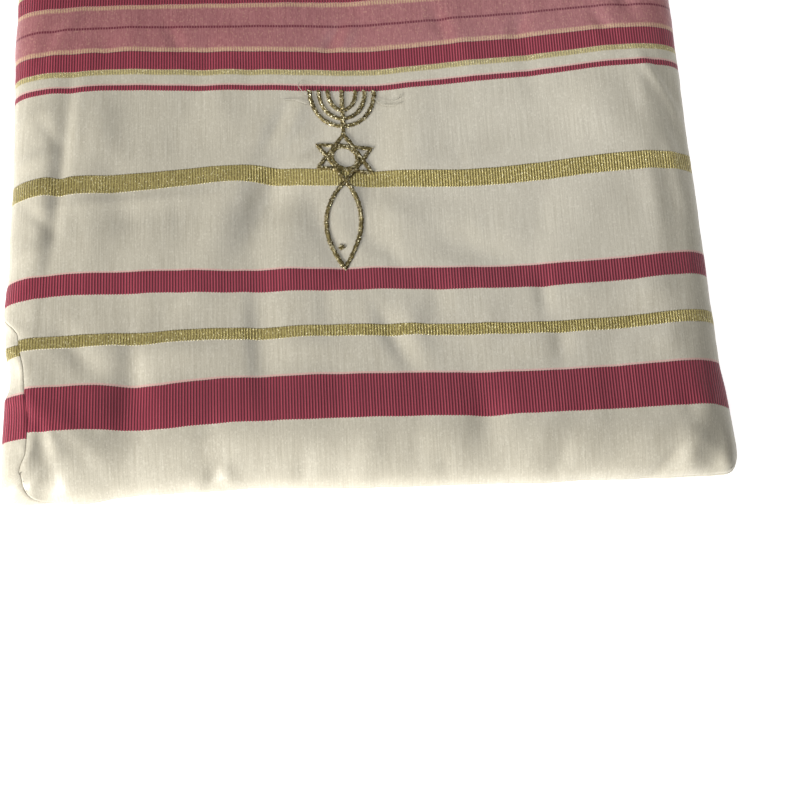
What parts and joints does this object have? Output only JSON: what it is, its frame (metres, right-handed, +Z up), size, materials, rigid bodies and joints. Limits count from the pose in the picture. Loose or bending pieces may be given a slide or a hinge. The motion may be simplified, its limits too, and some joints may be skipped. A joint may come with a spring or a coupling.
{
  "type": "tallit bag holding a folded prayer shawl",
  "caption": "Flat zipped cloth pouch with woven stripes, plump with the folded prayer shawl inside, lying on its back; the zip's pull tab swings.",
  "frame": {"origin": "on the surface that the bag lies on, under the middle of the whole part", "axes": "+X across the bag to the right as seen from its front, +Y from the bottom seam towards the zip, +Z up out of the front"},
  "size_m": [0.2833, 0.2548, 0.0191],
  "materials": {
    "striped_cloth": "satin cream weave with ribbed raspberry bands and glittering gold bands",
    "shawl_cloth": "soft cream weave",
    "zip_tape": "herringbone tape",
    "zip_teeth": "moulded coil",
    "zip_metal": "satin gold-coloured metal"
  },
  "bodies": {
    "bag": {"front_panel": "striped_cloth", "back_panel": "striped_cloth", "folded_shawl": "shawl_cloth", "zip_tape_front": "zip_tape", "zip_tape_back": "zip_tape", "zip_chain": "zip_teeth", "zip_slider": "zip_metal"},
    "pull_tab": {"zip_pull_tab": "zip_metal"}
  },
  "joints": [
    {"name": "pull_tab_swing", "type": "hinge", "parent": "bag", "child": "pull_tab", "pos_m": [0.0959, 0.1258, 0.0076], "axis": [0, 0, -1], "range_deg": [0, 170]}
  ]
}
